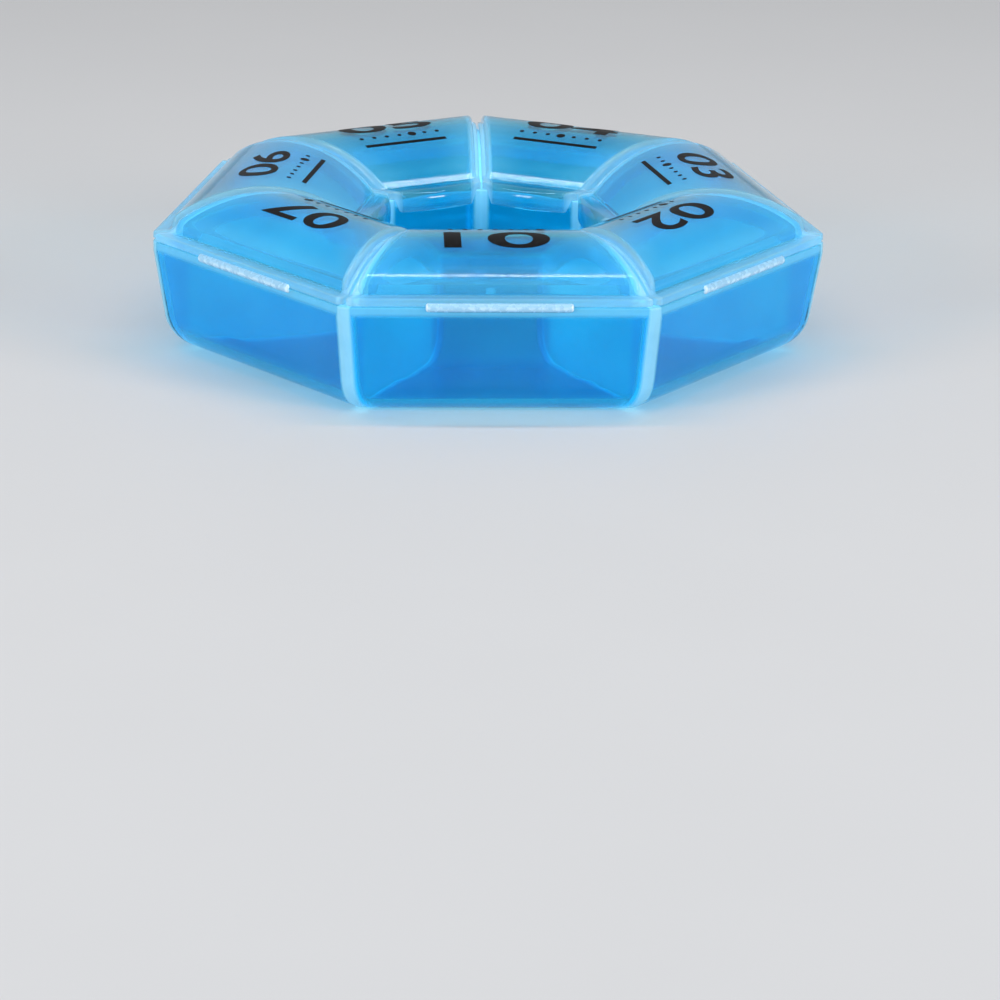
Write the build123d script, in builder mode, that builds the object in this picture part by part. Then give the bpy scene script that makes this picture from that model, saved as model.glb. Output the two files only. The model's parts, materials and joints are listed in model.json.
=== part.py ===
from build123d import *
import os
from math import atan2, cos, degrees, radians, sqrt, tan

# A weekly pill box: a seven-sided ring tray, seven vaulted lids, and a film hinge behind each lid.
# Millimetres and degrees, +Z up. The origin is on the ring's axis at the base, and lid 1 faces -Y.
# Across the ring, a place is given by its inset: how far it lies inwards from the tray's outer edge.

# Tray
sides = 7
rim_radius = 54.0             # axis to a corner of the rim, before the corner is rounded
tray_height = 17.8
rim_band = 1.6                # upright band along the top of the outer wall
outer_draft = 8.4             # lean of the outer wall below that band
outer_foot_radius = 7.0       # rounding from the outer wall into the base
corner_radius = 3.0           # upright corners of the outer wall
hole_radius = 19.7            # axis to a corner of the middle hole, at the rim
hole_draft = 1.0
hole_foot_radius = 5.5        # rounding from the hole's wall into the base
hole_corner_radius = 1.0
wall = 1.2                    # outer and inner walls, at the rim
floor = 1.3
divider = 1.4                 # dividers, at the height of the rim
divider_draft = 0.5
pocket_corner_radius = 2.0    # inside corners between a divider and the walls and floor

# Catch on the inner wall of each compartment
catch_length = 7.6
catch_depth = 0.7
catch_height = 1.4
pip_radius = 0.6              # mark left by the mould's gate, under each catch
pip_depth = 0.4
pip_drop = 7.0                # from the rim down to that mark

# Lids
seat_gap = 0.2                # between the closed lid and the tray it sits on
side_gap = 0.4                # between neighbouring lids
flange_width = 2.5            # outer edge to the foot of the dome
flange_thickness = 1.2
lid_corner_radius = 1.0
vault_rise = 7.4              # rim to the top of the vault
vault_outer_land = 0.7        # outer edge to where the vault's curve starts from the flange's level
vault_inner_land = 2.2        # where it comes down to that level again to the hole's edge
lid_skin = 1.1
dome_step = 1.2               # height of the dome's side above the side flange
dome_inset = 0.6              # width of the side flange
dome_edge_radius = 0.7
plug_depth = 2.0              # how far the plug rib reaches below its seat
plug_thickness = 1.0
plug_clearance = 0.25
tab_reach = 1.9               # how far the finger tab stands out into the hole
tab_drop = 2.0                # how far it hangs below the rim
tab_top_radius = 1.6
tab_foot_radius = 0.6
tab_clearance = 0.25          # between the tab and the hole's wall

# Film hinges
film_length = 22.0
film_thickness = 0.35
film_fold_radius = 0.5

# Places worked out from the sizes above
half_angle = radians(180 / sides)
first_corner = degrees(half_angle) - 90
rim_apothem = rim_radius * cos(half_angle)
hole_apothem = hole_radius * cos(half_angle)
half_side = rim_apothem * tan(half_angle)
hole_inset = rim_apothem - hole_apothem
seat = tray_height + seat_gap
flange_top = seat + flange_thickness
crown = tray_height + vault_rise
vault_half_span = (hole_inset - vault_outer_land - vault_inner_land) / 2
vault_crest = crown - flange_top
crown_inset = vault_outer_land + vault_half_span
vault_radius = (vault_half_span**2 + vault_crest**2) / (2 * vault_crest)
vault_centre = crown - vault_radius
side_flange_radius = vault_radius - dome_step
side_seat_radius = side_flange_radius - flange_thickness
divider_top_radius = side_seat_radius - seat_gap
plug_outer = wall + plug_depth * tan(radians(outer_draft)) + plug_clearance
plug_inner = hole_inset - wall - catch_depth - plug_clearance
plug_side = divider / 2 + plug_clearance
clear_height = 3 * crown      # well above anything that is cut to a plan outline
radial_plane = Plane(origin=(0, -rim_apothem, 0), x_dir=(0, 1, 0), z_dir=(1, 0, 0))


def vault_reach(radius, height):
    """Half the width, at a height, of a circle about the vault's centre line."""
    return sqrt(radius**2 - (height - vault_centre) ** 2)


def vault_height(radius, inset):
    """Height, at an inset, of the top of a circle about the vault's centre line."""
    return vault_centre + sqrt(radius**2 - (inset - crown_inset) ** 2)


def sector(outer_inset, inner_inset, side_offset):
    """Plan outline of compartment 1 between two insets, set in from the divider's middle plane."""
    outer_y = outer_inset - rim_apothem
    inner_y = inner_inset - rim_apothem
    outer_x = -outer_y * tan(half_angle) - side_offset / cos(half_angle)
    inner_x = -inner_y * tan(half_angle) - side_offset / cos(half_angle)
    return [(-outer_x, outer_y), (outer_x, outer_y), (inner_x, inner_y), (-inner_x, inner_y)]


def arched_edge(start_inset, end_inset, level, radius):
    """Draw a line that runs level, climbs over the vault at a radius, and runs level again."""
    foot = vault_reach(radius, level)
    first_foot = (crown_inset - foot, level)
    last_foot = (crown_inset + foot, level)
    Line((start_inset, level), first_foot)
    ThreePointArc(first_foot, (crown_inset, vault_centre + radius), last_foot)
    Line(last_foot, (end_inset, level))


def arched_band(outer_inset, inner_inset, low_level, low_radius, high_level, high_radius):
    """Return the radial section of a band that lies flat at both ends and arches between them."""
    with BuildSketch(radial_plane) as section:
        with BuildLine():
            arched_edge(outer_inset, inner_inset, low_level, low_radius)
            Line((inner_inset, low_level), (inner_inset, high_level))
            arched_edge(outer_inset, inner_inset, high_level, high_radius)
            Line((outer_inset, high_level), (outer_inset, low_level))
        make_face()
    return section.sketch


def at_corner(edge):
    """Tell whether an edge lies on one of the ring's corners."""
    middle = edge.center()
    turned = (degrees(atan2(middle.Y, middle.X)) - first_corner) % (360 / sides)
    return min(turned, 360 / sides - turned) < 1e-3


# Space of one compartment, rounded along the floor and the dividers
with BuildPart() as pocket:
    outer_slope = tan(radians(outer_draft))
    inner_slope = tan(radians(hole_draft))
    depth = tray_height - floor
    above = clear_height - tray_height
    with BuildSketch(radial_plane) as pocket_section:
        with BuildLine():
            Polyline(
                (wall - above * outer_slope, clear_height),
                (wall + depth * outer_slope, floor),
                (hole_inset - wall - depth * inner_slope, floor),
                (hole_inset - wall + above * inner_slope, clear_height),
                close=True,
            )
        make_face()
        fillet(pocket_section.vertices().group_by(Axis.Y)[0].sort_by(Axis.X)[0], outer_foot_radius - wall)
        fillet(pocket_section.vertices().group_by(Axis.Y)[0].sort_by(Axis.X)[-1], hole_foot_radius - wall)
    extrude(amount=half_side, both=True)
    with BuildSketch(Plane.XY):
        divider_foot = divider / 2 + tray_height * tan(radians(divider_draft))
        Polygon(*sector(-crown, (hole_inset + rim_apothem) / 2, divider_foot), align=None)
    extrude(amount=clear_height, taper=-divider_draft, mode=Mode.INTERSECT)
    for side_face in (pocket.faces().sort_by(Axis.X)[0], pocket.faces().sort_by(Axis.X)[-1]):
        fillet(side_face.edges().sort_by(Axis.Z)[:-1], pocket_corner_radius)

# Core under one lid's vault, of which the dividers keep the two ends
with BuildPart() as vault_core:
    with BuildSketch(radial_plane):
        with Locations((crown_inset, vault_centre)):
            Circle(divider_top_radius)
        with Locations((crown_inset, tray_height - floor)):
            Rectangle(2 * vault_radius, crown, align=(Align.CENTER, Align.MIN), mode=Mode.INTERSECT)
    extrude(amount=half_side, both=True)
    with BuildSketch(Plane.XY):
        Polygon(*sector(0, hole_inset, 0), align=None)
    extrude(amount=clear_height, mode=Mode.INTERSECT)

with BuildPart() as tray:
    with BuildSketch(Plane.XY.offset(tray_height - rim_band)):
        RegularPolygon(rim_radius, sides, rotation=first_corner)
    extrude(amount=-(tray_height - rim_band), taper=outer_draft)
    fillet(tray.faces().sort_by(Axis.Z)[0].edges(), outer_foot_radius)
    fillet(tray.edges().filter_by(at_corner), corner_radius)
    extrude(tray.faces().sort_by(Axis.Z)[-1], amount=rim_band)
    with BuildSketch(Plane.XY.offset(tray_height)) as hole:
        RegularPolygon(hole_radius, sides, rotation=first_corner)
        fillet(hole.vertices(), hole_corner_radius)
    extrude(amount=-tray_height, taper=-hole_draft, mode=Mode.SUBTRACT)
    fillet(tray.faces().sort_by(Axis.Z)[0].inner_wires()[0].edges(), hole_foot_radius)
    with PolarLocations(0, sides):
        add(vault_core.part)
    with PolarLocations(0, sides):
        add(pocket.part, mode=Mode.SUBTRACT)
    with BuildSketch(Plane.XY.offset(tray_height)):
        with PolarLocations(hole_apothem + wall, sides, start_angle=-90):
            SlotOverall(catch_length, 2 * catch_depth, rotation=90)
    extrude(amount=-catch_height)
    with Locations((0, 0, tray_height - pip_drop)):
        with PolarLocations(hole_apothem + wall, sides, start_angle=-90):
            Cylinder(pip_radius, 2 * pip_depth, rotation=(0, 90, 0))
tray.part.label = "tray"

# Plug rib of one lid, still solid in the middle
with BuildPart() as plug:
    plug_section = arched_band(
        plug_outer,
        plug_inner,
        seat - plug_depth,
        side_seat_radius - plug_depth,
        seat + flange_thickness / 2,
        side_seat_radius + flange_thickness / 2,
    )
    extrude(plug_section, amount=half_side, both=True)
    with BuildSketch(Plane.XY) as plug_plan:
        Polygon(*sector(plug_outer, plug_inner, plug_side), align=None)
        fillet(plug_plan.vertices(), pocket_corner_radius)
    extrude(amount=clear_height, mode=Mode.INTERSECT)

# Space under one lid, inside the plug rib and the dome's skin
with BuildPart() as lid_space:
    dome_inside = flange_width + lid_skin
    space_outer = plug_outer + plug_thickness
    space_inner = plug_inner - plug_thickness
    skin_inside = vault_radius - lid_skin
    with BuildSketch(radial_plane):
        with BuildLine():
            Polyline(
                (space_inner, vault_height(skin_inside, space_inner)),
                (space_inner, 0),
                (space_outer, 0),
                (space_outer, seat),
                (dome_inside, seat),
                (dome_inside, vault_height(skin_inside, dome_inside)),
            )
            ThreePointArc(
                (dome_inside, vault_height(skin_inside, dome_inside)),
                (crown_inset, vault_centre + skin_inside),
                (space_inner, vault_height(skin_inside, space_inner)),
            )
        make_face()
    extrude(amount=half_side, both=True)
    with BuildSketch(Plane.XY) as space_plan:
        Polygon(*sector(space_outer, space_inner, plug_side + plug_thickness), align=None)
        fillet(space_plan.vertices(), pocket_corner_radius - plug_thickness)
    extrude(amount=clear_height, mode=Mode.INTERSECT)

# Raised dome of one lid
with BuildPart() as dome:
    with BuildSketch(radial_plane):
        dome_end = hole_inset - vault_inner_land
        with BuildLine():
            Polyline(
                (dome_end, flange_top),
                (dome_end, seat),
                (flange_width, seat),
                (flange_width, vault_height(vault_radius, flange_width)),
            )
            ThreePointArc(
                (flange_width, vault_height(vault_radius, flange_width)),
                (crown_inset, crown),
                (dome_end, flange_top),
            )
        make_face()
        with Locations((crown_inset, vault_centre)):
            Circle(side_seat_radius, mode=Mode.SUBTRACT)
    extrude(amount=half_side, both=True)
    with BuildSketch(Plane.XY) as dome_plan:
        Polygon(*sector(flange_width, hole_inset, side_gap / 2 + dome_inset), align=None)
        fillet(dome_plan.vertices().group_by(Axis.Y)[0], lid_corner_radius)
    extrude(amount=clear_height, mode=Mode.INTERSECT)
    fillet(dome.faces().sort_by(Axis.Z)[-1].edges().sort_by(Axis.Y)[:-1], dome_edge_radius)

# Finger tab of one lid, a shallow bow along the hole's edge
with BuildPart() as tab:
    with BuildSketch(Plane.XY.offset(tray_height - tab_drop)):
        edge_y = hole_inset - rim_apothem
        half_edge = hole_apothem * tan(half_angle) - side_gap
        with BuildLine():
            ThreePointArc((-half_edge, edge_y), (0, edge_y + tab_reach), (half_edge, edge_y))
            Polyline(
                (half_edge, edge_y),
                (half_edge, edge_y - wall),
                (-half_edge, edge_y - wall),
                (-half_edge, edge_y),
            )
        make_face()
    extrude(amount=flange_top - tray_height + tab_drop)
    bow = tab.faces().sort_by(Axis.Y)[-1]
    fillet(bow.edges().sort_by(Axis.Z)[-1], tab_top_radius)
    fillet(tab.faces().sort_by(Axis.Z)[0].edges().sort_by(Axis.Y)[-1], tab_foot_radius)
    with BuildSketch(Plane.XY):
        Polygon(*sector(0, hole_inset + tab_clearance, -half_side), align=None)
    extrude(amount=seat, mode=Mode.SUBTRACT)

with BuildPart() as lid:
    flange_section = arched_band(0, hole_inset, seat, side_seat_radius, flange_top, side_flange_radius)
    extrude(flange_section, amount=half_side, both=True)
    with BuildSketch(Plane.XY) as lid_plan:
        Polygon(*sector(0, hole_inset, side_gap / 2), align=None)
        fillet(lid_plan.vertices().group_by(Axis.Y)[0], lid_corner_radius)
    extrude(amount=clear_height, mode=Mode.INTERSECT)
    add(dome.part)
    add(plug.part)
    add(tab.part)
    add(lid_space.part, mode=Mode.SUBTRACT)

# Film of one hinge, folded outwards between the tray's rim and the lid's flange
with BuildPart() as film:
    with BuildSketch(radial_plane):
        with Locations((0, tray_height + seat_gap / 2)):
            Circle(film_fold_radius + film_thickness / 2)
            Circle(film_fold_radius - film_thickness / 2, mode=Mode.SUBTRACT)
            Rectangle(rim_band, 2 * rim_band, align=(Align.MAX, Align.CENTER), mode=Mode.INTERSECT)
    extrude(amount=film_length / 2, both=True)

os.makedirs("parts", exist_ok=True)
export_step(tray.part, "parts/tray.step")
for number in range(1, sides + 1):
    turn = (0, 0, 360 / sides * (number - 1))
    with BuildPart() as placed_lid:
        add(lid.part, rotation=turn)
    placed_lid.part.label = f"lid_{number}"
    export_step(placed_lid.part, f"parts/lid_{number}.step")
    with BuildPart() as placed_film:
        add(film.part, rotation=turn)
    placed_film.part.label = f"hinge_{number}"
    export_step(placed_film.part, f"parts/hinge_{number}.step")
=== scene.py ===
"""Dress a weekly pill box: a seven-sided ring tray, seven vaulted lids and the film hinge behind each lid.

Metres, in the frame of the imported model: +Z up, origin on the ring's axis at the base, lid 1 towards -Y,
and lids numbered counter-clockwise seen from above. Across the ring, a place is given by its inset, how
far it lies inwards from the lids' outer edge, and by its side, how far it lies from the middle of the
nearest divider.
"""

import json
import logging
from dataclasses import dataclass
from enum import Enum
from math import cos, hypot, pi, radians, sin, sqrt, tan

import bmesh
import bpy
from mathutils import Matrix, Vector


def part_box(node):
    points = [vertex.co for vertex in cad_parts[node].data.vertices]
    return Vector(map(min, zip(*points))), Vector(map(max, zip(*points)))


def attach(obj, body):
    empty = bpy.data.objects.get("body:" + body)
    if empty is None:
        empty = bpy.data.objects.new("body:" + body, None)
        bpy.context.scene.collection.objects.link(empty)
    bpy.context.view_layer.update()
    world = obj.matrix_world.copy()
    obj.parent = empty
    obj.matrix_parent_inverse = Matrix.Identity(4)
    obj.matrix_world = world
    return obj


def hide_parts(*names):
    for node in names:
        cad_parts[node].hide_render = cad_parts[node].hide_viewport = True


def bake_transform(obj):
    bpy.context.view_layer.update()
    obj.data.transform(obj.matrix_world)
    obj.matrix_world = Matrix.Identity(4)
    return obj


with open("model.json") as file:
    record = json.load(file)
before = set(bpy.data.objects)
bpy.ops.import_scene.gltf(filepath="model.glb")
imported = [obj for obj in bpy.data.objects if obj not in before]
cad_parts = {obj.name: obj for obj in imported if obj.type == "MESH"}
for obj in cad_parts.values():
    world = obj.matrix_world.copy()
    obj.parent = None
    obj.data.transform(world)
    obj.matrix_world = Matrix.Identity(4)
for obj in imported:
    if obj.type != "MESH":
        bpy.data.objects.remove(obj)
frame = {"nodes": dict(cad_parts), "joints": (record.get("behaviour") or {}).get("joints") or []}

MM = 0.001

log = logging.getLogger("pill_box")
Span = tuple[float, float]
Colour = tuple[float, float, float]
Point = tuple[float, float, float]
Socket = bpy.types.NodeSocket


class Slot(Enum):
    """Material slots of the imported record."""

    TRAY = "tray_plastic"
    LID = "lid_plastic"
    FILM = "hinge_film"


class Measure(Enum):
    """Measures of a place on the ring that a finish can follow. Across is from its lid's middle line."""

    INSET = "inset"
    SIDE = "side"
    ACROSS = "across"
    HEIGHT = "height"
    FROM_GATE = "from_gate"


@dataclass(frozen=True)
class Ring:
    """The ring's plan, the height of the films' folds, and the gate mark on each inner wall."""

    sides: int
    rim: float
    fold_height: float = 17.9 * MM
    gate_inset: float = 29.7 * MM
    gate_height: float = 10.8 * MM

    @property
    def half_angle(self) -> float:
        """Half the angle that one compartment takes up."""
        return pi / self.sides

    def half_width(self, inset: float) -> float:
        """Return half the distance between the dividers' middles, at an inset."""
        return (self.rim - inset) * tan(self.half_angle)

    def turn(self, number: int) -> Matrix:
        """Return the turn that brings compartment 1 to another compartment."""
        return Matrix.Rotation(2 * self.half_angle * (number - 1), 4, "Z")

    def spot(self, across: float, inset: float, height: float) -> Vector:
        """Return a place in compartment 1 as a point of the frame."""
        return Vector((across, inset - self.rim, height))


RING = Ring(sides=len(frame["joints"]), rim=-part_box("lid_1")[0].y)


class Graph:
    """The node tree of a material or of the world, with short calls to add and wire its nodes."""

    def __init__(self, owner: bpy.types.Material | bpy.types.World) -> None:
        """Start from an empty tree.

        Args:
            owner: The new material or world.
        """
        self.owner = owner
        owner.use_nodes = True
        self.tree = owner.node_tree
        self.tree.nodes.clear()

    def add(self, kind: str, inputs: dict | None = None, **settings: str) -> bpy.types.Node:
        """Add a node, set its properties, and set or wire its inputs.

        Args:
            kind: The node's type, without the "ShaderNode" in front.
            inputs: Input names or numbers, each with a value or with the socket that feeds it.
            **settings: Properties of the node.

        Returns:
            The new node.
        """
        node = self.tree.nodes.new("ShaderNode" + kind)
        for key, value in settings.items():
            setattr(node, key, value)
        for key, value in (inputs or {}).items():
            if isinstance(value, Socket):
                self.tree.links.new(value, node.inputs[key])
            else:
                node.inputs[key].default_value = value
        return node

    def math(self, operation: str, *values: Socket | float) -> Socket:
        """Work out a number from others, and return its socket."""
        return self.add("Math", dict(enumerate(values)), operation=operation).outputs[0]

    def length(self, *axes: Socket) -> Socket:
        """Return the length of a vector with the given axes."""
        vector = self.add("CombineXYZ", dict(enumerate(axes))).outputs[0]
        return self.add("VectorMath", {0: vector}, operation="LENGTH").outputs["Value"]

    def place(self) -> Socket:
        """Return the socket of the object's own coordinates, in metres."""
        return self.add("TexCoord").outputs["Object"]

    def noise(self, size: float, detail: float) -> Socket:
        """Add noise with lumps of a given size.

        Args:
            size: Rough width of a lump, in metres.
            detail: Octaves of finer noise.

        Returns:
            The noise's value, about 0.5 on average.
        """
        settings = {"Vector": self.place(), "Scale": 1 / size, "Detail": detail}
        return self.add("TexNoise", settings).outputs["Fac"]

    def ranged(self, value: Socket, spread: Span, to: Span, soft: bool = False) -> Socket:
        """Map a value's spread to another range, held at its ends.

        Args:
            value: The socket to map.
            spread: Its values that reach the ends of the new range.
            to: The new range.
            soft: Whether the change eases in and out.

        Returns:
            The mapped value's socket.
        """
        settings = {"Value": value, 1: spread[0], 2: spread[1], 3: to[0], 4: to[1]}
        kind = "SMOOTHSTEP" if soft else "LINEAR"
        return self.add("MapRange", settings, interpolation_type=kind).outputs[0]

    def blend(self, share: Socket, first: Colour | Socket, second: Colour | Socket) -> Socket:
        """Mix two colours.

        Args:
            share: Socket that gives the share of the second colour.
            first: The first colour, or its socket.
            second: The second colour, or its socket.

        Returns:
            The mixed colour's socket.
        """
        # The node's colour sockets are inputs 6 and 7 and output 2
        colours = {6: first, 7: second}
        inputs = {key: c if isinstance(c, Socket) else (*c, 1) for key, c in colours.items()}
        return self.add("Mix", {"Factor": share, **inputs}, data_type="RGBA").outputs[2]

    def bump(self, height: Socket, strength: float, depth: float) -> Socket:
        """Return the normal of a surface with bumps of a given depth."""
        settings = {"Height": height, "Strength": strength, "Distance": depth}
        return self.add("Bump", settings).outputs[0]

    def measures(self) -> dict[Measure, Socket]:
        """Work out a place's measures, whichever compartment it is in.

        Returns:
            The socket of each measure.
        """
        x, y, z = self.add("SeparateXYZ", {0: self.place()}).outputs
        reach = self.length(x, y)
        around = self.math("ARCTAN2", x, self.math("MULTIPLY", y, -1.0))
        folded = self.math("WRAP", around, RING.half_angle, -RING.half_angle)
        off_middle = self.math("ABSOLUTE", folded)
        off_divider = self.math("SUBTRACT", RING.half_angle, off_middle)
        inwards = self.math("MULTIPLY", reach, self.math("COSINE", folded))
        inset = self.math("SUBTRACT", RING.rim, inwards)
        across = self.math("MULTIPLY", reach, self.math("SINE", off_middle))
        past_gate = self.math("SUBTRACT", inset, RING.gate_inset)
        above_gate = self.math("SUBTRACT", z, RING.gate_height)
        return {
            Measure.INSET: inset,
            Measure.SIDE: self.math("MULTIPLY", reach, self.math("SINE", off_divider)),
            Measure.ACROSS: across,
            Measure.HEIGHT: z,
            Measure.FROM_GATE: self.length(across, past_gate, above_gate),
        }

    def show(self, shader: Socket) -> bpy.types.Material | bpy.types.World:
        """Wire a shader to the tree's output.

        Args:
            shader: The shader's socket.

        Returns:
            The material or world.
        """
        kind = "OutputWorld" if isinstance(self.owner, bpy.types.World) else "OutputMaterial"
        self.add(kind, {"Surface": shader})
        return self.owner


@dataclass(frozen=True)
class HazeAndSheenBand:
    """A stretch of a moulding where the plastic is drawn cloudy, fading out along one measure; some bands
    are painted sheen.
    """

    measure: Measure
    full: float
    clear: float
    amount: float


@dataclass(frozen=True)
class PaintedTone:
    """A painted colour that cloudy plastic is given along one measure, for painted light, shade and glints.
    """

    measure: Measure
    start: float
    full: float
    colour: Colour


@dataclass(frozen=True)
class MouldedPlastic:
    """Glossy blue moulded polypropylene, clear in the thin walls and cloudy along the edges, with some
    bands of painted sheen and some tones of painted light and shade.
    """

    name: str
    deep: Colour
    bright: Colour
    cloudy_and_sheen: Colour
    clarity: float
    cloudy_clarity: float
    lets_through: Colour
    bands: tuple[HazeAndSheenBand, ...]
    painted_tones: tuple[PaintedTone, ...] = ()
    noise_detail: float = 3
    noise_spread: Span = (0.3, 0.7)
    waver: Span = (0.94, 1.0)
    waver_size: float = 2.5 * MM
    drift_spread: Span = (0.35, 0.65)
    drift_size: float = 14 * MM
    roughness: Span = (0.05, 0.11)
    roughness_size: float = 3 * MM
    cloudy_roughness: float = 0.07
    peel_size: float = 1.6 * MM
    peel_detail: float = 1
    peel_strength: float = 0.35
    peel_depth: float = 0.012 * MM
    index: float = 1.37

    def haze_and_sheen(self, g: Graph, measures: dict[Measure, Socket]) -> Socket:
        """Return the share of cloudy plastic at each place, including the bands that paint a sheen.

        Args:
            g: The material's graph.
            measures: The sockets of a place's measures.

        Returns:
            The share's socket, 0 where clear and 1 where cloudy.
        """
        waver = g.ranged(g.noise(self.waver_size, self.noise_detail), self.noise_spread, self.waver)
        share = None
        for band in self.bands:
            here = g.ranged(measures[band.measure], (band.full, band.clear), (band.amount, 0), soft=True)
            share = here if share is None else g.math("MAXIMUM", share, here)
        return g.math("MULTIPLY", share, waver)

    def cloud_colour_and_painted_light(self, g: Graph, measures: dict[Measure, Socket]) -> Colour | Socket:
        """Return the colour of cloudy plastic at each place, with the painted light, shade and glints of
        its tones.

        Args:
            g: The material's graph.
            measures: The sockets of a place's measures.

        Returns:
            The colour, or its socket where the finish has tones.
        """
        colour = self.cloudy_and_sheen
        for tone in self.painted_tones:
            share = g.ranged(measures[tone.measure], (tone.start, tone.full), (0, 1), soft=True)
            colour = g.blend(share, colour, tone.colour)
        return colour

    def material(self) -> bpy.types.Material:
        """Make the finish as a material.

        Shadow rays pass straight through the plastic, tinted, and so does diffuse light where it is clear.

        Returns:
            The material.
        """
        g = Graph(bpy.data.materials.new(self.name))
        measures = g.measures()
        haze_and_sheen = self.haze_and_sheen(g, measures)
        drift = g.ranged(g.noise(self.drift_size, self.noise_detail), self.drift_spread, (0, 1))
        clear = g.blend(drift, self.deep, self.bright)
        rough = g.ranged(g.noise(self.roughness_size, self.noise_detail), self.noise_spread, self.roughness)
        cloudy_rough = g.math("MULTIPLY", haze_and_sheen, self.cloudy_roughness)
        peel = g.noise(self.peel_size, self.peel_detail)
        settings = {
            "Base Color": g.blend(haze_and_sheen, clear, self.cloud_colour_and_painted_light(g, measures)),
            "Roughness": g.math("MAXIMUM", rough, cloudy_rough),
            "IOR": self.index,
            "Transmission Weight": g.ranged(haze_and_sheen, (0, 1), (self.clarity, self.cloudy_clarity)),
            "Normal": g.bump(peel, self.peel_strength, self.peel_depth),
        }
        plastic = g.add("BsdfPrincipled", settings).outputs[0]
        open_wall = g.add("BsdfTransparent", {"Color": (*self.lets_through, 1)}).outputs[0]
        path = g.add("LightPath").outputs
        soft_light = g.math("MULTIPLY", path["Is Diffuse Ray"], g.math("SUBTRACT", 1.0, haze_and_sheen))
        passing = g.math("MAXIMUM", path["Is Shadow Ray"], soft_light)
        return g.show(g.add("MixShader", {0: passing, 1: plastic, 2: open_wall}).outputs[0])


@dataclass(frozen=True)
class FoldedFilm:
    """Blue film that has gone white and blotchy along its fold, and whiter still at its ends."""

    name: str
    white: Colour
    blue: Colour
    end_white: Colour
    fold_half: float = 0.42 * MM
    end_start: float = 10.55 * MM
    end_full: float = 10.85 * MM
    blotch_size: float = 1.0 * MM
    blotch_detail: float = 3
    blotch_spread: Span = (0.38, 0.58)
    blotch_strength: float = 0.4
    blotch_depth: float = 0.03 * MM
    roughness: Span = (0.12, 0.3)
    clarity: float = 0.12
    index: float = 1.49

    def material(self) -> bpy.types.Material:
        """Make the finish as a material.

        Returns:
            The material.
        """
        g = Graph(bpy.data.materials.new(self.name))
        measures = g.measures()
        off_fold = g.math("ABSOLUTE", g.math("SUBTRACT", measures[Measure.HEIGHT], RING.fold_height))
        fold = g.ranged(off_fold, (0, self.fold_half), (1, 0), soft=True)
        lumps = g.noise(self.blotch_size, self.blotch_detail)
        blotch = g.ranged(lumps, self.blotch_spread, (0, 1), soft=True)
        whiteness = g.math("MULTIPLY", fold, blotch)
        ends = g.ranged(measures[Measure.ACROSS], (self.end_start, self.end_full), (0, 1), soft=True)
        settings = {
            "Base Color": g.blend(ends, g.blend(whiteness, self.blue, self.white), self.end_white),
            "Roughness": g.ranged(blotch, (0, 1), self.roughness),
            "IOR": self.index,
            "Transmission Weight": g.ranged(whiteness, (0, 1), (self.clarity, 0)),
            "Normal": g.bump(blotch, self.blotch_strength, self.blotch_depth),
        }
        return g.show(g.add("BsdfPrincipled", settings).outputs[0])


@dataclass(frozen=True)
class PrintedInk:
    """Black pad-printed ink."""

    name: str
    black: Colour
    worn: Colour
    wear_size: float = 0.8 * MM
    wear_detail: float = 4
    wear_spread: Span = (0.5, 0.8)
    roughness: Span = (0.4, 0.6)
    specular: float = 0.05

    def material(self) -> bpy.types.Material:
        """Make the finish as a material.

        Returns:
            The material.
        """
        g = Graph(bpy.data.materials.new(self.name))
        wear = g.ranged(g.noise(self.wear_size, self.wear_detail), self.wear_spread, (0, 1))
        settings = {
            "Base Color": g.blend(wear, self.black, self.worn),
            "Roughness": g.ranged(wear, (0, 1), self.roughness),
            "Specular IOR Level": self.specular,
        }
        return g.show(g.add("BsdfPrincipled", settings).outputs[0])


TRAY_BLUE = MouldedPlastic(
    name="tray_blue",
    deep=(0.005, 0.52, 0.82),
    bright=(0.02, 0.57, 0.85),
    cloudy_and_sheen=(0.32, 0.71, 0.95),
    clarity=0.93,
    cloudy_clarity=0.05,
    lets_through=(0.52, 0.82, 0.92),
    bands=(
        HazeAndSheenBand(Measure.SIDE, full=0.75 * MM, clear=1.6 * MM, amount=0.9),
        HazeAndSheenBand(Measure.HEIGHT, full=17.0 * MM, clear=15.9 * MM, amount=0.55),
        # The gate mark is drawn cloudy, and the last tone paints it pale as a glint on its pip.
        HazeAndSheenBand(Measure.FROM_GATE, full=0.70 * MM, clear=0.85 * MM, amount=1.0),
    ),
    painted_tones=(
        # Painted glow: the dividers turn a brighter cyan inwards from the outer wall, standing in for light
        # scattered through them.
        PaintedTone(Measure.INSET, start=4.4 * MM, full=6.0 * MM, colour=(0.26, 0.88, 1.0)),
        # Painted shade: darker and duller towards the hole.
        PaintedTone(Measure.INSET, start=27.0 * MM, full=29.0 * MM, colour=(0.16, 0.55, 0.80)),
        # Painted light: paler towards the top, where light falls from above.
        PaintedTone(Measure.HEIGHT, start=11.0 * MM, full=19.5 * MM, colour=(0.34, 0.75, 0.96)),
        # Painted glint: pale at the gate mark.
        PaintedTone(Measure.FROM_GATE, start=1.0 * MM, full=0.9 * MM, colour=(0.60, 0.84, 0.97)),
    ),
)
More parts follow.
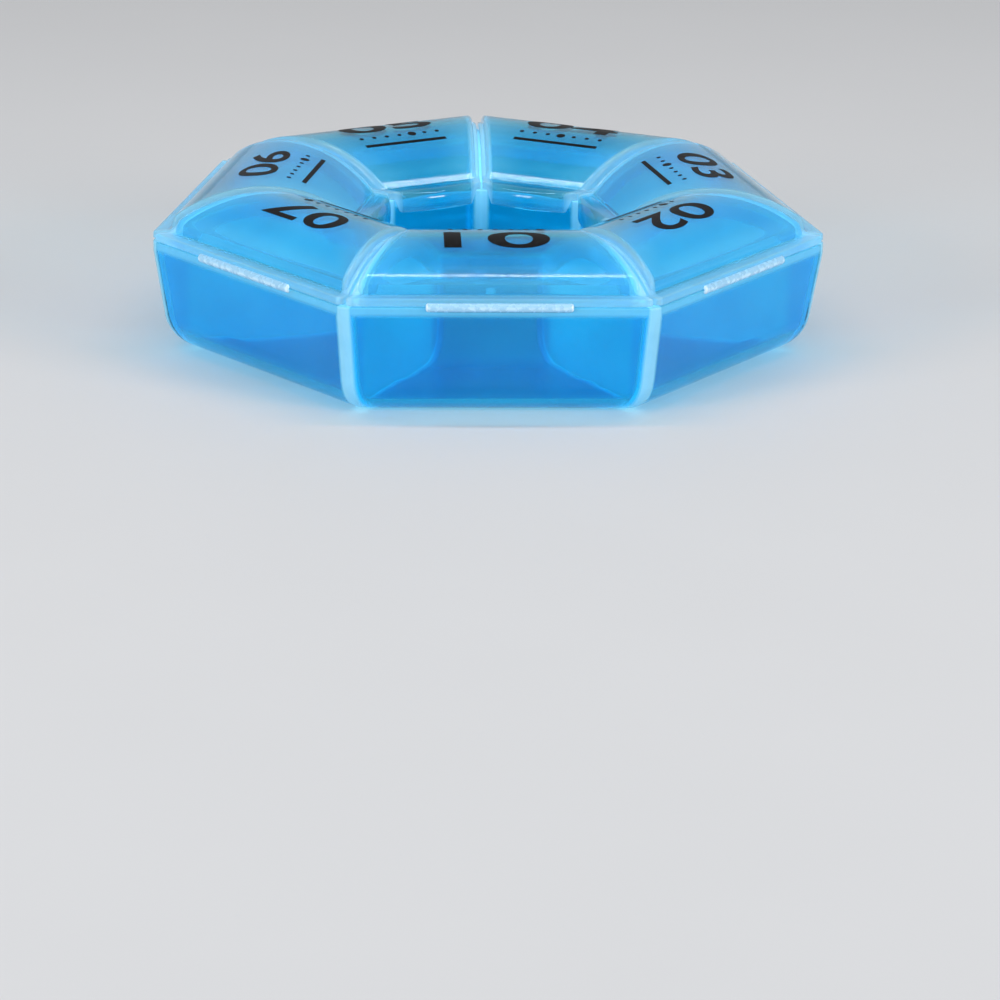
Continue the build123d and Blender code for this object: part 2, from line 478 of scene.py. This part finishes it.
LID_BLUE = MouldedPlastic(
    name="lid_blue",
    deep=(0.02, 0.56, 0.83),
    bright=(0.04, 0.61, 0.86),
    cloudy_and_sheen=(0.52, 0.80, 0.96),
    clarity=0.88,
    cloudy_clarity=0.40,
    lets_through=(0.93, 0.98, 0.99),
    bands=(
        HazeAndSheenBand(Measure.SIDE, full=0.9 * MM, clear=2.6 * MM, amount=0.75),
        # Painted sheen: a wide, faint band of cloudy plastic along the sides stands in for light reflected
        # off the dome's slopes.
        HazeAndSheenBand(Measure.SIDE, full=1.5 * MM, clear=8.0 * MM, amount=0.20),
        HazeAndSheenBand(Measure.INSET, full=1.6 * MM, clear=3.0 * MM, amount=0.6),
        # Painted sheen: a wide, faint band of cloudy plastic in from the flange stands in for light
        # reflected off the dome's front slope.
        HazeAndSheenBand(Measure.INSET, full=2.5 * MM, clear=7.0 * MM, amount=0.24),
    ),
)
FILM_WHITE = FoldedFilm(
    name="fold_whitened_film",
    white=(0.52, 0.77, 0.95),
    blue=(0.36, 0.67, 0.93),
    end_white=(0.68, 0.86, 0.98),
)
BLACK_INK = PrintedInk("black_ink", black=(0.004, 0.004, 0.005), worn=(0.02, 0.02, 0.025))


def held(value: float, low: float, high: float) -> float:
    """Return a value held between two limits."""
    return min(max(value, low), high)


def join_loops(mesh: bmesh.types.BMesh, loops: list[list[bmesh.types.BMVert]]) -> None:
    """Join each closed loop of points to the next one by faces.

    Args:
        mesh: The mesh that the points are in.
        loops: The loops in order, all with as many points.
    """
    around = len(loops[0])
    for one, two in zip(loops, loops[1:]):
        for n in range(around):
            after = (n + 1) % around
            mesh.faces.new((one[n], two[n], two[after], one[after]))


def new_piece(name: str, mesh: bmesh.types.BMesh, sharp: float | None = None) -> bpy.types.Object:
    """Turn a bmesh into a smooth-shaded piece in the scene.

    Args:
        name: The piece's name.
        mesh: Its mesh, which is freed.
        sharp: Angle above which an edge between two faces stays sharp, or None for none.

    Returns:
        The new piece, not yet riding on a body.
    """
    for face in mesh.faces:
        face.smooth = True
    data = bpy.data.meshes.new(name)
    mesh.to_mesh(data)
    mesh.free()
    if sharp is not None:
        data.set_sharp_from_angle(angle=sharp)
    piece = bpy.data.objects.new(name, data)
    bpy.context.scene.collection.objects.link(piece)
    return piece


@dataclass
class Tray:
    """The ring tray: outer wall, floor, inner wall and arched dividers, with rounded edges."""

    finish: bpy.types.Material
    edge_radius: float = 0.18 * MM
    edge_steps: int = 2
    edge_profile: float = 0.5
    weld: float = 0.002 * MM
    flat_angle: float = radians(0.05)
    sharp_angle: float = radians(24)
    flat_face_weight: int = 50

    def mesh(self) -> bmesh.types.BMesh:
        """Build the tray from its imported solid, with the edges rounded.

        Returns:
            The tray's mesh.
        """
        mesh = bmesh.new()
        mesh.from_mesh(frame["nodes"]["tray"].data)
        bmesh.ops.remove_doubles(mesh, verts=mesh.verts, dist=self.weld)
        bmesh.ops.dissolve_limit(mesh, angle_limit=self.flat_angle, verts=mesh.verts, edges=mesh.edges)
        sharp = [e for e in mesh.edges if e.is_manifold and e.calc_face_angle(0) > self.sharp_angle]
        bmesh.ops.bevel(
            mesh,
            geom=sharp,
            offset=self.edge_radius,
            offset_type="OFFSET",
            segments=self.edge_steps,
            profile=self.edge_profile,
            affect="EDGES",
            clamp_overlap=False,
            miter_outer="ARC",
            material=-1,
        )
        return mesh

    def dress(self, piece: bpy.types.Object) -> bpy.types.Object:
        """Give the tray even shading and its finish, and let it ride on its body.

        Args:
            piece: The bare tray.

        Returns:
            The dressed tray.
        """
        even = piece.modifiers.new("even_normals", "WEIGHTED_NORMAL")
        even.weight = self.flat_face_weight
        piece.data.materials.append(self.finish)
        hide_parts("tray")
        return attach(piece, "tray")

    def build(self) -> bpy.types.Object:
        """Build and dress the tray, and return it."""
        return self.dress(new_piece("tray_shell", self.mesh()))


@dataclass(frozen=True)
class Vault:
    """The round vault that a lid rises over, as a circle across the ring."""

    crest: float
    crest_inset: float
    radius: float

    def height(self, level: float, depth: float, inset: float) -> float:
        """Return the height of a surface that runs level and climbs over the vault.

        Args:
            level: Height of its level stretches.
            depth: How far under the vault's outside it climbs.
            inset: Where across the ring.

        Returns:
            The surface's height there.
        """
        rise_squared = (self.radius - depth) ** 2 - (inset - self.crest_inset) ** 2
        return max(level, self.crest - self.radius + sqrt(max(rise_squared, 0)))

    def slope(self, inset: float) -> float:
        """Return the angle at which the vault's outside climbs towards the hole, at an inset."""
        run = self.crest_inset - inset
        return pi / 2 - Vector((run, sqrt(self.radius**2 - run**2))).angle(Vector((1, 0)))


@dataclass
class LidShell:
    """A vaulted lid: flange, dome, plug rib underneath, and finger tab at the hole.

    Its mesh is a grid of rows, each at one inset, and columns, which run from the outer edge to the hole
    along the sides and fan out between them. Each column goes over the top, down round the tab and back
    underneath.
    """

    # Flange
    seat: float = 18.0 * MM
    flange_thickness: float = 1.2 * MM
    flange_width: float = 2.5 * MM
    side_gap: float = 0.2 * MM
    edge_radius: float = 0.3 * MM
    corner_radius: float = 1.0 * MM

    # Dome
    vault_outer_land: float = 0.7 * MM
    vault_inner_land: float = 2.2 * MM
    skin: float = 1.1 * MM
    dome_step: float = 1.2 * MM
    dome_inset: float = 0.6 * MM
    dome_edge_radius: float = 0.7 * MM
    corner_fade: float = 1.5 * MM

    # Plug rib
    plug_outer: float = 1.745 * MM
    plug_inner: float = 28.75 * MM
    plug_side: float = 0.95 * MM
    plug_depth: float = 2.0 * MM
    plug_thickness: float = 1.0 * MM
    plug_foot_radius: float = 0.25 * MM
    wall_run: float = 0.04 * MM

    # Finger tab, whose roundings shrink with it towards the sides
    tab_reach: float = 1.9 * MM
    tab_least: float = 0.14 * MM
    tab_side_gap: float = 0.4 * MM
    tab_clearance: float = 0.25 * MM
    tab_growth: float = 0.5 * MM
    tab_top_radius: float = 1.6 * MM
    tab_top_share: float = 0.95
    tab_foot_radius: float = 0.5 * MM
    tab_foot_share: float = 0.4
    tab_back_share: float = 0.2
    tab_back_drop: float = 0.02 * MM

    # Mesh lines
    edge_steps: int = 3
    dome_edge_steps: int = 6
    tab_top_steps: int = 6
    tab_foot_steps: int = 4
    dome_foot_margin: float = 0.1 * MM
    side_strip: float = 1.4 * MM
    rib_foot_shares: tuple[float, ...] = (0, 0.2, 0.5, 1)
    flange_rows: tuple[float, ...] = (0.7 * MM, 1.2 * MM)
    land_rows: tuple[float, ...] = (1.5 * MM, 0.9 * MM, 0.4 * MM, 0)
    vault_rows: int = 30
    middle_columns: int = 15

    def __post_init__(self) -> None:
        """Take the lid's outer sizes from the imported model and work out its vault."""
        low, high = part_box("lid_1")
        self.tab_foot = low.z
        self.flange_top = self.seat + self.flange_thickness
        self.hole = RING.rim + high.y - self.tab_reach
        half_span = (self.hole - self.vault_outer_land - self.vault_inner_land) / 2
        crest = high.z - self.flange_top
        radius = (half_span**2 + crest**2) / (2 * crest)
        self.vault = Vault(high.z, self.vault_outer_land + half_span, radius)
        self.dome_side = self.side_gap + self.dome_inset
        self.dome_inside = self.flange_width + self.skin
        self.side_lines = self.make_side_lines()
        self.rows = self.make_rows()

    @staticmethod
    def rounding(radius: float, steps: int) -> list[float]:
        """Return how far in from an edge the mesh lines lie that round it."""
        return [radius * (1 - cos(pi / 2 * n / steps)) for n in range(steps + 1)]

    def rib_lines(self) -> list[float]:
        """Place the mesh lines that shape the plug's rib.

        Returns:
            How far in from the plug's outside each line lies.
        """
        near = [self.wall_run + share * self.plug_foot_radius for share in self.rib_foot_shares]
        far = [self.plug_thickness - distance + self.wall_run for distance in near]
        return [0.0, *near, *far, self.plug_thickness + self.wall_run]

    def make_side_lines(self) -> list[float]:
        """Place the columns along one side of the lid.

        Returns:
            The side of each column, rising.
        """
        edge = [self.side_gap + d for d in self.rounding(self.edge_radius, self.edge_steps)]
        dome = [self.dome_side + d for d in self.rounding(self.dome_edge_radius, self.dome_edge_steps)]
        rib = [self.plug_side + d for d in self.rib_lines()]
        foot, last = self.dome_side - self.dome_foot_margin, self.plug_side + self.side_strip
        return sorted([*edge, foot, *dome, *rib, last])

    def make_rows(self) -> list[float]:
        """Place the rows from the outer edge to the hole.

        Returns:
            The inset of each row, rising.
        """
        edge = [*self.rounding(self.edge_radius, self.edge_steps), *self.flange_rows]
        front = [self.flange_width + d for d in self.rounding(self.dome_edge_radius, self.dome_edge_steps)]
        front += [self.plug_outer + d for d in self.rib_lines()]
        front += [self.dome_inside, self.dome_inside + self.wall_run]
        back = [self.plug_inner - d for d in self.rib_lines()]
        start, end = max(front), min(back)
        vault = [start + (end - start) * n / self.vault_rows for n in range(1, self.vault_rows)]
        land = [self.hole - d for d in self.land_rows]
        return sorted(edge + front + vault + back + land)

    @staticmethod
    def eased(a: float, b: float) -> Span:
        """Move a place in a unit square so that the square's corner at 0, 0 is round."""
        p, q = 1 - a, 1 - b
        return 1 - p * sqrt(1 - q * q / 2), 1 - q * sqrt(1 - p * p / 2)

    def around_corners(self, side: float, inset: float) -> Span:
        """Shift a crossing of mesh lines so that they go round the lid's and the dome's outer corners.

        Args:
            side: The column's side.
            inset: The row's inset.

        Returns:
            The shifted side and inset.
        """
        r = self.corner_radius
        a, b = (side - self.side_gap) / r, inset / r
        if a < 1 and b < 1:
            a, b = self.eased(a, b)
            return self.side_gap + a * r, b * r
        a, b = (side - self.dome_side) / r, (inset - self.flange_width) / r
        if a < 1 and b < 1:
            near_a, near_b = max(a, 0), max(b, 0)
            round_a, round_b = self.eased(near_a, near_b)
            fade = 1 + min(a, 0) * r / self.dome_inset
            fade *= max(0, 1 + min(b, 0) * r / self.corner_fade)
            return side + (round_a - near_a) * r * fade, inset + (round_b - near_b) * r * fade
        return side, inset

    def inside(self, side: float, inset: float) -> float:
        """Return how far inside an outline with a rounded corner a place lies.

        Args:
            side: Its distance from the outline's straight side.
            inset: Its distance from the outline's outer edge.

        Returns:
            The distance to the nearest stretch of the outline.
        """
        r = self.corner_radius
        if side < r and inset < r:
            return r - hypot(r - side, r - inset)
        return min(side, inset)

    def edge_drop(self, side: float, inset: float, radius: float) -> float:
        """Return how far the rounding of the lid's outer edge departs from the flat flange."""
        short = max(radius - max(self.inside(side - self.side_gap, inset), 0), 0)
        return radius - sqrt(radius**2 - short**2)

    def top(self, side: float, inset: float) -> float:
        """Return the height of the lid's outside.

        Args:
            side: The place's side.
            inset: The place's inset.

        Returns:
            The height there.
        """
        flange = self.vault.height(self.flange_top, self.dome_step, inset)
        dome = self.vault.height(self.flange_top, 0, inset)
        depth = self.inside(side - self.dome_side, inset - self.flange_width)
        short = 1 - held(depth / self.dome_edge_radius, 0, 1)
        raised = (dome - flange) * sqrt(1 - short**2)
        return flange + raised - self.edge_drop(side, inset, self.edge_radius)

    def underside(self, side: float, inset: float) -> float:
        """Return the height of the lid's underside.

        Args:
            side: The column's side.
            inset: The row's inset.

        Returns:
            The height where the two mesh lines cross.
        """
        seat_depth = self.dome_step + self.flange_thickness
        depth = min(side - self.plug_side, inset - self.plug_outer, self.plug_inner - inset)
        if depth < self.wall_run / 2:
            seat = self.vault.height(self.seat, seat_depth, inset)
            return seat + self.edge_drop(side, inset, self.edge_radius / 2)
        if depth < self.plug_thickness + self.wall_run / 2:
            foot = self.vault.height(self.seat - self.plug_depth, seat_depth + self.plug_depth, inset)
            from_wall = min(depth - self.wall_run, self.plug_thickness - depth)
            short = self.plug_foot_radius - held(from_wall, 0, self.plug_foot_radius)
            return foot + self.plug_foot_radius - sqrt(self.plug_foot_radius**2 - short**2)
        if inset < self.dome_inside + self.wall_run / 2:
            return self.seat
        return self.vault.height(self.seat, self.skin, inset)

    def tab(self, across: float) -> list[Span]:
        """Return the inset and height of the mesh lines round the finger tab, from its top to its back.

        Args:
            across: Where along the hole's edge.

        Returns:
            The places in order.
        """
        half_edge = RING.half_width(self.hole) - self.tab_side_gap
        bow = max(self.tab_reach * (1 - (across / half_edge) ** 2), self.tab_least)
        tip = self.hole + bow
        share = held((bow - self.tab_clearance) / self.tab_growth, 0, 1)
        foot = self.seat - (self.seat - self.tab_foot) * share * share * (3 - 2 * share)
        back = self.hole + min(self.tab_clearance, bow / 2)
        over = min(self.tab_top_radius, self.tab_top_share * bow)
        room = min(tip - back, self.flange_top - over - foot)
        under = min(self.tab_foot_radius, self.tab_foot_share * room)
        corner = self.tab_back_share * under
        places = []
        for n in range(self.tab_top_steps + 1):
            angle = pi / 2 * n / self.tab_top_steps
            places.append((tip - over * (1 - sin(angle)), self.flange_top - over * (1 - cos(angle))))
        for n in range(self.tab_foot_steps + 1):
            angle = pi / 2 * n / self.tab_foot_steps
            places.append((tip - under * (1 - cos(angle)), foot + under * (1 - sin(angle))))
        places.append((back + corner, foot))
        places.append((back, foot + corner))
        places.append((back, self.seat - self.tab_back_drop * share))
        return places

    def column(self, side: float | None, share: float) -> list[Vector]:
        """Return one column's points: over the top to the hole, round the tab, and back underneath.

        Args:
            side: The column's side, or None where it fans out between the sides.
            share: Its place from one side, -1, to the other, 1.

        Returns:
            The points, in compartment 1.
        """
        upper, lower = [], []
        tilt = cos(RING.half_angle)
        for row in self.rows:
            if side is None:
                inset = row
                across = share * (RING.half_width(inset) - self.side_lines[-1] / tilt)
                top_side = under_side = (RING.half_width(inset) - abs(across)) * tilt
            else:
                under_side = side
                top_side, inset = self.around_corners(side, row)
                across = share * (RING.half_width(inset) - top_side / tilt)
            upper.append(RING.spot(across, inset, self.top(top_side, inset)))
            lower.append(RING.spot(across, inset, self.underside(under_side, row)))
        ends = [RING.spot(upper[-1].x, inset, height) for inset, height in self.tab(upper[-1].x)]
        return upper + ends + lower[::-1]

    def mesh(self) -> bmesh.types.BMesh:
        """Build the lid of compartment 1.

        Returns:
            The lid's mesh.
        """
        left = [(side, -1.0) for side in self.side_lines]
        right = [(side, 1.0) for side in reversed(self.side_lines)]
        count = self.middle_columns + 1
        middle = [(None, 2 * n / count - 1) for n in range(1, count)]
        mesh = bmesh.new()
        lines = [[mesh.verts.new(p) for p in self.column(*place)] for place in left + middle + right]
        join_loops(mesh, lines)
        rows, around = len(self.rows), len(lines[0])
        for line in (lines[0], lines[-1]):
            for n in range(rows - 1):
                mesh.faces.new((line[n], line[n + 1], line[around - 2 - n], line[around - 1 - n]))
            mesh.faces.new(line[rows - 1 : around - rows + 1])
        bmesh.ops.recalc_face_normals(mesh, faces=mesh.faces)
        return mesh


@dataclass
class Lid:
    """One lid, dressed."""

    number: int
    shell: LidShell
    finish: bpy.types.Material
    sharp_angle: float = radians(35)

    def dress(self, piece: bpy.types.Object) -> bpy.types.Object:
        """Give the lid its finish, and let it ride on its body.

        Args:
            piece: The bare lid.

        Returns:
            The dressed lid.
        """
        node = f"lid_{self.number}"
        piece.data.materials.append(self.finish)
        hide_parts(node)
        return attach(piece, node)

    def build(self) -> bpy.types.Object:
        """Build and dress the lid.

        Returns:
            The lid.
        """
        mesh = self.shell.mesh()
        mesh.transform(RING.turn(self.number))
        return self.dress(new_piece(f"lid_{self.number}_shell", mesh, self.sharp_angle))


@dataclass
class FilmHinge:
    """One film hinge, a thin strip folded outwards between the tray's rim and a lid's flange."""

    number: int
    finish: bpy.types.Material
    fold_radius: float = 0.5 * MM
    thickness: float = 0.35 * MM
    end_radius: float = 0.9 * MM
    end_reach: float = 0.45
    corner_radius: float = 0.4 * MM
    fold_steps: int = 10
    length_steps: int = 44
    bend_half: float = 0.5 * MM
    sharp_angle: float = radians(40)

    @staticmethod
    def rounding(to_end: float, radius: float) -> float:
        """Return how much of a rounded end is left, from 1 before it to 0 at the end itself."""
        past = held(1 - to_end / radius, 0, 1)
        return sqrt(1 - past * past)

    def stations(self) -> list[tuple[float, float, float]]:
        """Space out places along the film, closer together towards its ends.

        Returns:
            Each place across, with its shares of the fold's full reach and height.
        """
        low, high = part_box("hinge_1")
        half = (high.x - low.x) / 2
        end_height = 1 - self.corner_radius / (self.fold_radius + self.thickness / 2)
        places = []
        for n in range(self.length_steps + 1):
            across = -half * cos(pi * n / self.length_steps)
            to_end = half - abs(across)
            reach = self.end_reach + (1 - self.end_reach) * self.rounding(to_end, self.end_radius)
            height = end_height + (1 - end_height) * self.rounding(to_end, self.corner_radius)
            places.append((across, reach, height))
        return places

    def section(self, reach: float, height: float) -> list[Span]:
        """Return the inset and height of the film's section, round its outside and back along its inside.

        Args:
            reach: Share of the fold's full reach outwards.
            height: Share of the fold's full height.

        Returns:
            The section's places in order.
        """
        outline = []
        for face in (1, -1):
            bend = self.fold_radius + face * self.thickness / 2
            for n in range(self.fold_steps + 1):
                angle = face * (pi / 2 - pi * n / self.fold_steps)
                outline.append((-bend * cos(angle) * reach, RING.fold_height + bend * sin(angle) * height))
        return outline

    def mesh(self) -> bmesh.types.BMesh:
        """Build the film of compartment 1.

        Returns:
            The film's mesh.
        """
        mesh = bmesh.new()
        loops = []
        for across, *shares in self.stations():
            places = [RING.spot(across, inset, height) for inset, height in self.section(*shares)]
            loops.append([mesh.verts.new(place) for place in places])
        join_loops(mesh, loops)
        mesh.faces.new(loops[0])
        mesh.faces.new(loops[-1])
        bmesh.ops.recalc_face_normals(mesh, faces=mesh.faces)
        return mesh

    def dress(self, piece: bpy.types.Object) -> bpy.types.Object:
        """Give the film its finish, in place of the imported hinge.

        Args:
            piece: The bare film.

        Returns:
            The dressed film.
        """
        piece.data.materials.append(self.finish)
        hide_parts(f"hinge_{self.number}")
        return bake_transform(piece)

    def build(self) -> bpy.types.Object:
        """Build and dress the film.

        Returns:
            The film.
        """
        mesh = self.mesh()
        mesh.transform(RING.turn(self.number))
        return self.dress(new_piece(f"hinge_{self.number}_film", mesh, self.sharp_angle))


@dataclass
class LidPrint:
    """The black print on one lid: its number, a row of seven dots with its own one larger, and a bar.

    It is laid out flat, with X across and Y the inset, and then draped over the lid's vault. The swell that
    thickens the figures' strokes is a share of the font's size.
    """

    number: int
    vault: Vault
    finish: bpy.types.Material
    figure_height: float = 6.2 * MM
    figure_width: float = 16.0 * MM
    figure_foot: float = 15.6 * MM
    stroke_swell: float = 0.016
    dot_radius: float = 0.36 * MM
    own_dot_radius: float = 0.72 * MM
    dot_step: float = 2.3 * MM
    dot_inset: float = 18.1 * MM
    dot_sides: int = 24
    bar_size: Span = (14.6 * MM, 0.7 * MM)
    bar_inset: float = 20.6 * MM
    strip: float = 0.5 * MM
    lift: float = 0.006 * MM
    thickness: float = 0.028 * MM
    weld: float = 0.001 * MM
    sharp_angle: float = radians(40)

    def figures(self, mesh: bmesh.types.BMesh) -> None:
        """Add the lid's number, with its top towards the outer edge.

        Args:
            mesh: The flat print to add to.
        """
        curve = bpy.data.curves.new("figures", "FONT")
        curve.body = f"0{self.number}"
        curve.offset = self.stroke_swell
        maker = bpy.data.objects.new("figures", curve)
        bpy.context.scene.collection.objects.link(maker)
        flat = bpy.data.meshes.new_from_object(maker.evaluated_get(bpy.context.evaluated_depsgraph_get()))
        bpy.data.objects.remove(maker)
        points = [v.co for v in flat.vertices]
        low_x, high_x = min(p.x for p in points), max(p.x for p in points)
        low_y, high_y = min(p.y for p in points), max(p.y for p in points)
        middle = (low_x + high_x) / 2
        wide = self.figure_width / (high_x - low_x)
        tall = self.figure_height / (high_y - low_y)
        for point in points:
            point.x, point.y = -(point.x - middle) * wide, self.figure_foot - (point.y - low_y) * tall
        mesh.from_mesh(flat)
        bpy.data.meshes.remove(flat)

    def dots(self, mesh: bmesh.types.BMesh) -> None:
        """Add the row of dots, one for each lid.

        Args:
            mesh: The flat print to add to.
        """
        for n in range(RING.sides):
            own = n + 1 == self.number
            radius = self.own_dot_radius if own else self.dot_radius
            middle = ((RING.sides - 1) / 2 - n) * self.dot_step
            ring = []
            for step in range(self.dot_sides):
                angle = 2 * pi * step / self.dot_sides
                place = (middle + radius * cos(angle), self.dot_inset + radius * sin(angle), 0)
                ring.append(mesh.verts.new(place))
            mesh.faces.new(ring)

    def bar(self, mesh: bmesh.types.BMesh) -> None:
        """Add the bar beside the dots.

        Args:
            mesh: The flat print to add to.
        """
        half_wide, half_tall = self.bar_size[0] / 2, self.bar_size[1] / 2
        corners = ((-1, -1), (1, -1), (1, 1), (-1, 1))
        places = [(x * half_wide, self.bar_inset + y * half_tall, 0) for x, y in corners]
        mesh.faces.new([mesh.verts.new(place) for place in places])

    def cut_strips(self, mesh: bmesh.types.BMesh) -> None:
        """Cut the flat print into strips, which can follow the vault.

        Args:
            mesh: The flat print.
        """
        low = min(v.co.y for v in mesh.verts)
        high = max(v.co.y for v in mesh.verts)
        for n in range(1, int((high - low) / self.strip) + 1):
            everything = mesh.verts[:] + mesh.edges[:] + mesh.faces[:]
            cut = (0, low + n * self.strip, 0)
            bmesh.ops.bisect_plane(mesh, geom=everything, plane_co=cut, plane_no=(0, 1, 0))

    def drape(self, mesh: bmesh.types.BMesh, lift: float) -> None:
        """Lay the flat print on the vault.

        Args:
            mesh: The flat print.
            lift: How far above the vault's surface it lies.
        """
        for vert in mesh.verts:
            across, inset, _ = vert.co
            lean = self.vault.slope(inset)
            height = self.vault.height(0, 0, inset)
            vert.co = RING.spot(across, inset - lift * sin(lean), height + lift * cos(lean))

    def close(self, mesh: bmesh.types.BMesh, under: bmesh.types.BMesh) -> None:
        """Join the print's upper and lower faces into closed slabs.

        Args:
            mesh: The upper faces, which the slabs are made in.
            under: The lower faces, in the same order, which are freed.
        """
        rim = [edge for edge in mesh.edges if edge.is_boundary]
        faces = list(mesh.faces)
        under.verts.ensure_lookup_table()
        twin = {vert: mesh.verts.new(under.verts[vert.index].co) for vert in list(mesh.verts)}
        for face in faces:
            mesh.faces.new([twin[v] for v in reversed(face.verts)])
        for edge in rim:
            one, two = edge.verts
            mesh.faces.new((one, two, twin[two], twin[one]))
        under.free()
        bmesh.ops.recalc_face_normals(mesh, faces=mesh.faces)

    def mesh(self) -> bmesh.types.BMesh:
        """Build the print on the lid of compartment 1.

        Returns:
            The print's mesh.
        """
        mesh = bmesh.new()
        self.figures(mesh)
        self.dots(mesh)
        self.bar(mesh)
        bmesh.ops.remove_doubles(mesh, verts=mesh.verts, dist=self.weld)
        self.cut_strips(mesh)
        under = mesh.copy()
        self.drape(mesh, self.lift + self.thickness)
        self.drape(under, self.lift)
        self.close(mesh, under)
        return mesh

    def dress(self, piece: bpy.types.Object) -> bpy.types.Object:
        """Give the print its ink, and let it ride on its lid."""
        piece.data.materials.append(self.finish)
        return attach(piece, f"lid_{self.number}")

    def build(self) -> bpy.types.Object:
        """Build and dress the print.

        Returns:
            The print.
        """
        mesh = self.mesh()
        mesh.transform(RING.turn(self.number))
        return self.dress(new_piece(f"lid_{self.number}_print", mesh, self.sharp_angle))


@dataclass
class PhotoCamera:
    """A camera that sees the ring from the photograph's viewpoint, its lens and sensor in millimetres."""

    lens: float = 159.03
    sensor_width: float = 36.0
    clip: Span = (0.01, 20.0)
    distance: float = 716.13 * MM
    elevation: float = radians(18.896)
    yaw: float = radians(-2.829)
    roll: float = radians(0.956)
    aim_right: float = 2.896 * MM
    aim_up: float = -28.849 * MM

    def build(self) -> bpy.types.Object:
        """Make the scene's camera.

        Returns:
            The camera.
        """
        spin = Matrix.Rotation(self.yaw, 3, "Z")
        ahead = spin @ Vector((0, cos(self.elevation), -sin(self.elevation)))
        right = spin @ Vector((1, 0, 0))
        up = right.cross(ahead)
        aim = spin @ Vector((self.aim_right, 0, 0)) + Vector((0, 0, self.aim_up))
        rolled_right = right * cos(self.roll) + up * sin(self.roll)
        rolled_up = up * cos(self.roll) - right * sin(self.roll)
        place = Matrix((rolled_right, rolled_up, -ahead)).transposed().to_4x4()
        place.translation = aim - ahead * self.distance
        data = bpy.data.cameras.new("photo_camera")
        data.lens = self.lens
        data.sensor_width = self.sensor_width
        data.sensor_fit = "HORIZONTAL"
        data.clip_start, data.clip_end = self.clip
        camera = bpy.data.objects.new("photo_camera", data)
        camera.matrix_world = place
        bpy.context.scene.collection.objects.link(camera)
        bpy.context.scene.camera = camera
        return camera


@dataclass(frozen=True)
class Softbox:
    """A rectangular lamp that faces a point, with its power in watts."""

    name: str
    place: Point
    aim: Point
    size: Span
    power: float

    def build(self) -> bpy.types.Object:
        """Hang the lamp.

        Returns:
            The lamp.
        """
        data = bpy.data.lights.new(self.name, "AREA")
        data.shape = "RECTANGLE"
        data.size, data.size_y = self.size
        data.energy = self.power
        lamp = bpy.data.objects.new(self.name, data)
        lamp.location = self.place
        lamp.rotation_euler = (Vector(self.aim) - Vector(self.place)).to_track_quat("-Z", "Y").to_euler()
        bpy.context.scene.collection.objects.link(lamp)
        return lamp


LAMPS = (
    Softbox("top_strip", place=(0.0, 0.0, 0.60), aim=(0, 0, 0), size=(0.8, 0.05), power=1.8),
    Softbox("left_box", place=(-0.62, -0.50, 0.26), aim=(0, 0, 0.01), size=(0.25, 0.25), power=3.4),
    Softbox("right_box", place=(0.62, -0.50, 0.26), aim=(0, 0, 0.01), size=(0.25, 0.25), power=3.4),
)


@dataclass
class Studio:
    """A pale floor and backdrop under soft white light."""

    lamps: tuple[Softbox, ...]
    floor_half: float = 3.0
    floor_drop: float = 0.02 * MM
    floor_colour: Colour = (0.67, 0.68, 0.70)
    floor_shade: float = 0.97
    floor_roughness: float = 0.7
    grain_size: float = 40 * MM
    grain_detail: float = 4
    fill: float = 0.38
    backdrop: float = 0.68

    def build(self) -> None:
        """Make the floor, the lamps and the surrounding light."""
        bpy.context.scene.view_settings.view_transform = "Standard"
        self.floor()
        self.surroundings()
        for lamp in self.lamps:
            lamp.build()

    def floor(self) -> None:
        """Lay the floor just under the base."""
        half = self.floor_half
        data = bpy.data.meshes.new("floor")
        corners = [(-half, -half, 0), (half, -half, 0), (half, half, 0), (-half, half, 0)]
        data.from_pydata(corners, [], [(0, 1, 2, 3)])
        g = Graph(bpy.data.materials.new("pale_floor"))
        shaded = tuple(self.floor_shade * c for c in self.floor_colour)
        settings = {
            "Base Color": g.blend(g.noise(self.grain_size, self.grain_detail), shaded, self.floor_colour),
            "Roughness": self.floor_roughness,
        }
        data.materials.append(g.show(g.add("BsdfPrincipled", settings).outputs[0]))
        piece = bpy.data.objects.new("floor", data)
        piece.location.z = -self.floor_drop
        bpy.context.scene.collection.objects.link(piece)

    def surroundings(self) -> None:
        """Show a pale backdrop to the camera and in gloss and glass, and light the rest more softly."""
        g = Graph(bpy.data.worlds.new("studio"))
        path = g.add("LightPath").outputs
        mirrored = g.math("MAXIMUM", path["Is Glossy Ray"], path["Is Transmission Ray"])
        seen = g.math("MAXIMUM", path["Is Camera Ray"], mirrored)
        undiffused = g.math("LESS_THAN", path["Diffuse Depth"], 1.0)
        level = g.ranged(g.math("MULTIPLY", seen, undiffused), (0, 1), (self.fill, self.backdrop))
        world = g.show(g.add("Background", {"Strength": level}).outputs[0])
        world.cycles.sampling_method = "NONE"
        bpy.context.scene.world = world


def main() -> None:
    """Build the pill box and its studio, and report each piece."""
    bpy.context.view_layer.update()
    shell = LidShell()
    lid_finish, film_finish, ink = LID_BLUE.material(), FILM_WHITE.material(), BLACK_INK.material()
    pieces = [Tray(TRAY_BLUE.material()).build()]
    for number in range(1, RING.sides + 1):
        pieces.append(Lid(number, shell, lid_finish).build())
        pieces.append(LidPrint(number, shell.vault, ink).build())
        pieces.append(FilmHinge(number, film_finish).build())
    for piece in pieces:
        log.info("%s: %d faces", piece.name, len(piece.data.polygons))
    Studio(LAMPS).build()
    PhotoCamera().build()


if __name__ == "__main__":
    logging.basicConfig(level=logging.INFO, format="%(message)s")
    main()
